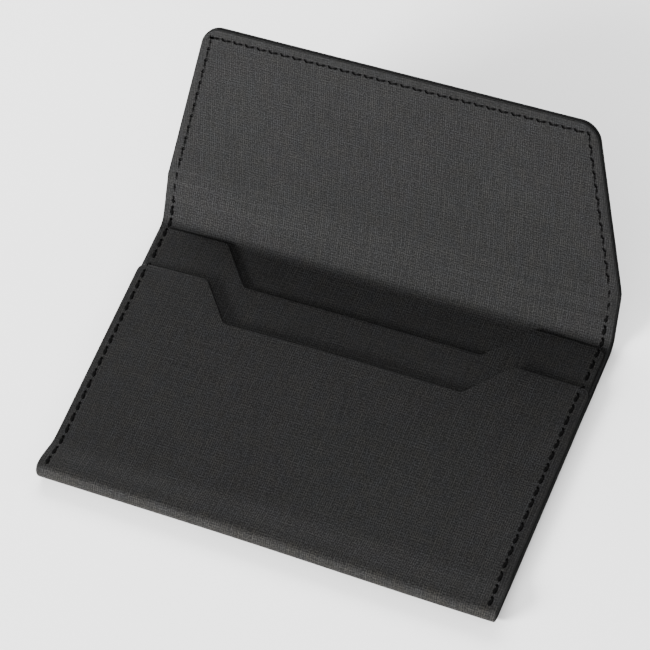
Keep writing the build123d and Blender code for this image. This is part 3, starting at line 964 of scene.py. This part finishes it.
keeper_low = BOTTOM + KEEPER_PLACE - KEEPER_HALF_HEIGHT
keeper_high = BOTTOM + KEEPER_PLACE + KEEPER_HALF_HEIGHT
keeper_plate = blank("keeper_plate", KEEPER_HALF_WIDTH, keeper_low, keeper_high)
round_corners(lambda v: True, KEEPER_CORNER)
thicken(keeper_plate, KEEPER, above=True)
take(keeper_plate, "EDIT")
score(rows=steps(keeper_low, keeper_high, 2.0), columns=both_sides([0.0, 2.0, 4.0]))
bpy.ops.object.mode_set(mode="OBJECT")
fold_up(keeper_plate, lambda x, y, h: fold_backing(x, y, h + POCKET_LINING + KEEPER_GAP))
smooth(keeper_plate)
finish_piece(keeper_plate, steel, "keeper", "pocket_keeper")
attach(keeper_plate, "case_body")


# ---- thread -------------------------------------------------------------------------------
SINK = 0.12  # how deep the thread lies in its dent


def lay_thread(name, stitches, fold, up, model=thread_model):
    """Lay the stitches on a bench face and fold them up with it; up is -1 on the outside."""
    seam = copies(model, stitch_places(stitches, 0.0), name)
    for vertex in seam.data.vertices:
        vertex.co.z = up * (vertex.co.z - SINK)
    if up < 0:
        seam.data.flip_normals()
    fold_up(seam, fold)
    smooth(seam, 60)
    return seam


inside_lower = lay_thread("needle_stitches", body_stitches, fold_side_seam, 1)
finish_piece(inside_lower, thread, "thread", "body_needle_thread", "spine_needle_thread")
bend_lower(inside_lower)
inside_upper = lay_thread("flap_needle_stitches", upper_stitches, fold_hull, 1, flap_thread_model)
finish_piece(inside_upper, thread, "thread", "flap_needle_thread")
bend_upper(inside_upper)
outside_lower = lay_thread("bobbin_stitches", body_stitches, fold_cover, -1)
finish_piece(outside_lower, thread, "thread", "body_bobbin_thread", "spine_bobbin_thread")
bend_lower(outside_lower)
outside_upper = lay_thread(
    "flap_bobbin_stitches", upper_stitches, fold_cover, -1, flap_thread_model
)
finish_piece(outside_upper, thread, "thread", "flap_bobbin_thread")
bend_upper(outside_upper)


# ---- edge paint ---------------------------------------------------------------------------
RIM = 0.36  # the paint stops this far below the sheets' rounded rims


def side_bar(name, side, inner, outer, low, high, start, end, rows):
    """Bar of paint on a straight side, its outer edges rounded."""
    clear_bench()
    bpy.ops.mesh.primitive_cube_add(size=1)
    bar = bpy.context.object
    bar.name = name
    bpy.ops.object.mode_set(mode="EDIT")
    bpy.ops.transform.resize(value=(outer - inner, end - start, high - low))
    bpy.ops.transform.translate(
        value=(side * (inner + outer) / 2, (start + end) / 2, (low + high) / 2)
    )
    pick("EDGE", lambda e: all(near(v.co.x, side * outer) for v in e.verts)
         and near(e.verts[0].co.z, e.verts[1].co.z))
    rounding = min(0.22, (high - low) / 4, (outer - inner) * 0.7)
    bpy.ops.mesh.bevel(offset=rounding, segments=3, affect="EDGES", profile=0.6)
    score(rows=rows)
    bpy.ops.object.mode_set(mode="OBJECT")
    return bar


def joined(parts, name):
    clear_bench()
    for part in parts:
        part.select_set(True)
    bpy.context.view_layer.objects.active = parts[0]
    bpy.ops.object.join()
    parts[0].name = name
    return parts[0]


PLUG_RADIUS = FOLD_RADIUS - 0.12


def fold_plug(x, y, h):
    """A bar of height 0 to 1 fills the side from the table side up to the front panel."""
    low, high = 0.12, pocket_face(y) - RIM - droop(CASE_WIDTH, y)
    if y < STACK_START:
        half = (max(0.0, PLUG_RADIUS ** 2 - (y - STACK_START) ** 2)) ** 0.5
        low, high = FOLD_RADIUS - half, FOLD_RADIUS + half
    # below the stack the whole section moves with the fold's own skew
    shifted = skewed(x, y) if y > STACK_START else y + skewed(x, STACK_START) - STACK_START
    return x, shifted, low + (high - low) * h


HULL_BAR_START = POCKET_TOP - 4
HULL_BAR_ROWS = (
    steps(HULL_BAR_START, CREASE - LOWER_SCORED, 2.0) + [CREASE - LOWER_SCORED] + LOWER_ROWS
)
body_bars = []
for side in (-1, 1):
    hull_bar = side_bar(
        "hull_bar", side, HALF - 0.3, CASE_WIDTH / 2, -HULL + 0.1, -RIM,
        HULL_BAR_START, MID_SPINE, HULL_BAR_ROWS,
    )
    fold_up(hull_bar, fold_hull)
    plug_start = STACK_START - PLUG_RADIUS + 0.01
    plug = side_bar(
        "plug", side, HALF - 0.5, CASE_WIDTH / 2, 0, 1, plug_start, POCKET_TOP - 0.9,
        steps(plug_start, STACK_START, 0.2) + [STACK_START]
        + steps(STACK_START, FLAT_START, 0.7) + steps(FLAT_START, POCKET_TOP - 1, 3.0),
    )
    fold_up(plug, fold_plug)
    body_bars += [hull_bar, plug]
edge_lower = joined(body_bars, "edge_paint_body")
smooth(edge_lower, 40)
finish_piece(edge_lower, edge_paint, "edge_coat", "body_edge_coat", "spine_edge_coat")
bend_lower(edge_lower)

edge_upper = flap_blank(
    "edge_paint_flap", CASE_WIDTH / 2, FLAP_TIP_WIDTH / 2, TIP, FLAP_CORNER_RADIUS
)
bpy.ops.mesh.select_mode(type="FACE")
bpy.ops.mesh.select_all(action="SELECT")
bpy.ops.mesh.dissolve_faces()
bpy.ops.mesh.inset(thickness=EDGE_PAINT + 0.3, depth=0, use_even_offset=True, use_boundary=True)
# what is left is the rim: not the big middle face, nor the strip along the split
pick("FACE", lambda f: f.calc_area() > 500 or all(v.co.y < MID_SPINE + 0.5 for v in f.verts))
bpy.ops.mesh.delete(type="FACE")
pick("VERT", lambda v: v.co.y < MID_SPINE + 0.5)
bpy.ops.transform.resize(value=(1, 0, 1), center_override=(0, MID_SPINE, 0))
score(rows=UPPER_ROWS + steps(FLAP_START, TIP - 6, 6.0))
bpy.ops.object.mode_set(mode="OBJECT")
for vertex in edge_upper.data.vertices:
    vertex.co.z = -RIM
thicken(edge_upper, HULL - RIM - 0.1)
take(edge_upper, "EDIT")


def outer_rim(edge):
    """The long edges of the paint's outer face, not those toward the sheets."""
    if len(edge.link_faces) != 2 or edge.calc_face_angle(0) < radians(60):
        return False
    a, b = (v.co for v in edge.verts)
    if not near(a.z, b.z) or (near(a.y, MID_SPINE) and near(b.y, MID_SPINE)):
        return False
    point = (a + b) / 2
    limit = CASE_WIDTH / 2 - FLAP_LEAN * max(0.0, point.y - UPPER_CREASE)
    past_x = abs(point.x) - (FLAP_TIP_WIDTH / 2 - FLAP_CORNER_RADIUS)
    past_y = point.y - (TIP - FLAP_CORNER_RADIUS)
    on_corner = past_x > 0 and past_y > 0 and hypot(past_x, past_y) > FLAP_CORNER_RADIUS - 0.18
    return abs(point.x) > limit - 0.15 or point.y > TIP - 0.15 or on_corner


pick("EDGE", outer_rim)
bpy.ops.mesh.bevel(offset=0.26, segments=4, affect="EDGES", profile=0.6, clamp_overlap=True)
bpy.ops.object.mode_set(mode="OBJECT")
fold_up(edge_upper, fold_hull)
smooth(edge_upper, 40)
finish_piece(edge_upper, edge_paint, "edge_coat", "flap_edge_coat")
bend_upper(edge_upper)

for model in (
    thread_model, flap_thread_model, dent_model, flap_dent_model, slit_model, flap_slit_model,
):
    discard(model)

# ---- pieces inside the sheets ---------------------------------------------------------------
for node, material in (
    ("back_board", board), ("spine_board", board), ("flap_board", board),
    ("flap_magnet", ferrite),
):
    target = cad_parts[node]
    if not target.material_slots:
        target.data.materials.append(material)
    for entry in target.material_slots:
        entry.material = material

# ---- table, light and camera ----------------------------------------------------------------
clear_bench()
bpy.ops.mesh.primitive_plane_add(size=6)
table = bpy.context.object
table.name = "table_top"
material, tree, shader = new_finish("pale_table")
spot = add_node(tree, "ShaderNodeTexCoord", output=3)
mottle = noise(tree, spot, 3.0, detail=3)
feed(tree, shader, Base_Color=between(tree, mottle, grey(0.86), grey(0.9)), Roughness=0.9)
table.data.materials.append(material)


def softbox(name, place, target, size, power):
    lamp = bpy.data.lights.new(name, "AREA")
    lamp.shape = "RECTANGLE"
    lamp.size, lamp.size_y = size
    lamp.energy = power
    box = bpy.data.objects.new(name, lamp)
    bpy.context.collection.objects.link(box)
    box.location = place
    box.rotation_euler = (Vector(target) - Vector(place)).to_track_quat("-Z", "Y").to_euler()
    return box


softbox("key_softbox", (-0.75, -0.75, 0.5), (0, 0, 0), (0.55, 0.35), 43)
softbox("low_softbox", (0.1, -1.1, 0.16), (0, 0, 0), (1.0, 0.25), 18)
softbox("side_softbox", (0.5, -0.55, 1.05), (0, 0, 0), (0.8, 0.8), 2)
softbox("rim_softbox", (0.85, 0.36, 0.36), (0, 0, 0), (0.5, 0.5), 3)
softbox("back_softbox", (-0.27, 0.86, 0.64), (0, 0, 0), (1.0, 0.4), 22)
world = bpy.context.scene.world or bpy.data.worlds.new("studio")
bpy.context.scene.world = world
world.use_nodes = True
sky = next(n for n in world.node_tree.nodes if n.type == "BACKGROUND")
sky.inputs["Color"].default_value = (1, 1, 1, 1)
sky.inputs["Strength"].default_value = 0.9

camera_place = Vector((0.27047, -0.24771, 0.6383))
camera_target = Vector((-0.00818, 0.01964, 0.0))
camera_roll = 25.773
lens = bpy.data.cameras.new("camera")
lens.lens = 196.92
lens.sensor_width = 36
lens.clip_start, lens.clip_end = 0.05, 20
camera = bpy.data.objects.new("camera", lens)
bpy.context.collection.objects.link(camera)
toward = (camera_target - camera_place).to_track_quat("-Z", "Y").to_matrix().to_4x4()
camera.matrix_world = (
    Matrix.Translation(camera_place) @ toward @ Matrix.Rotation(radians(-camera_roll), 4, "Z")
)
bpy.context.scene.camera = camera
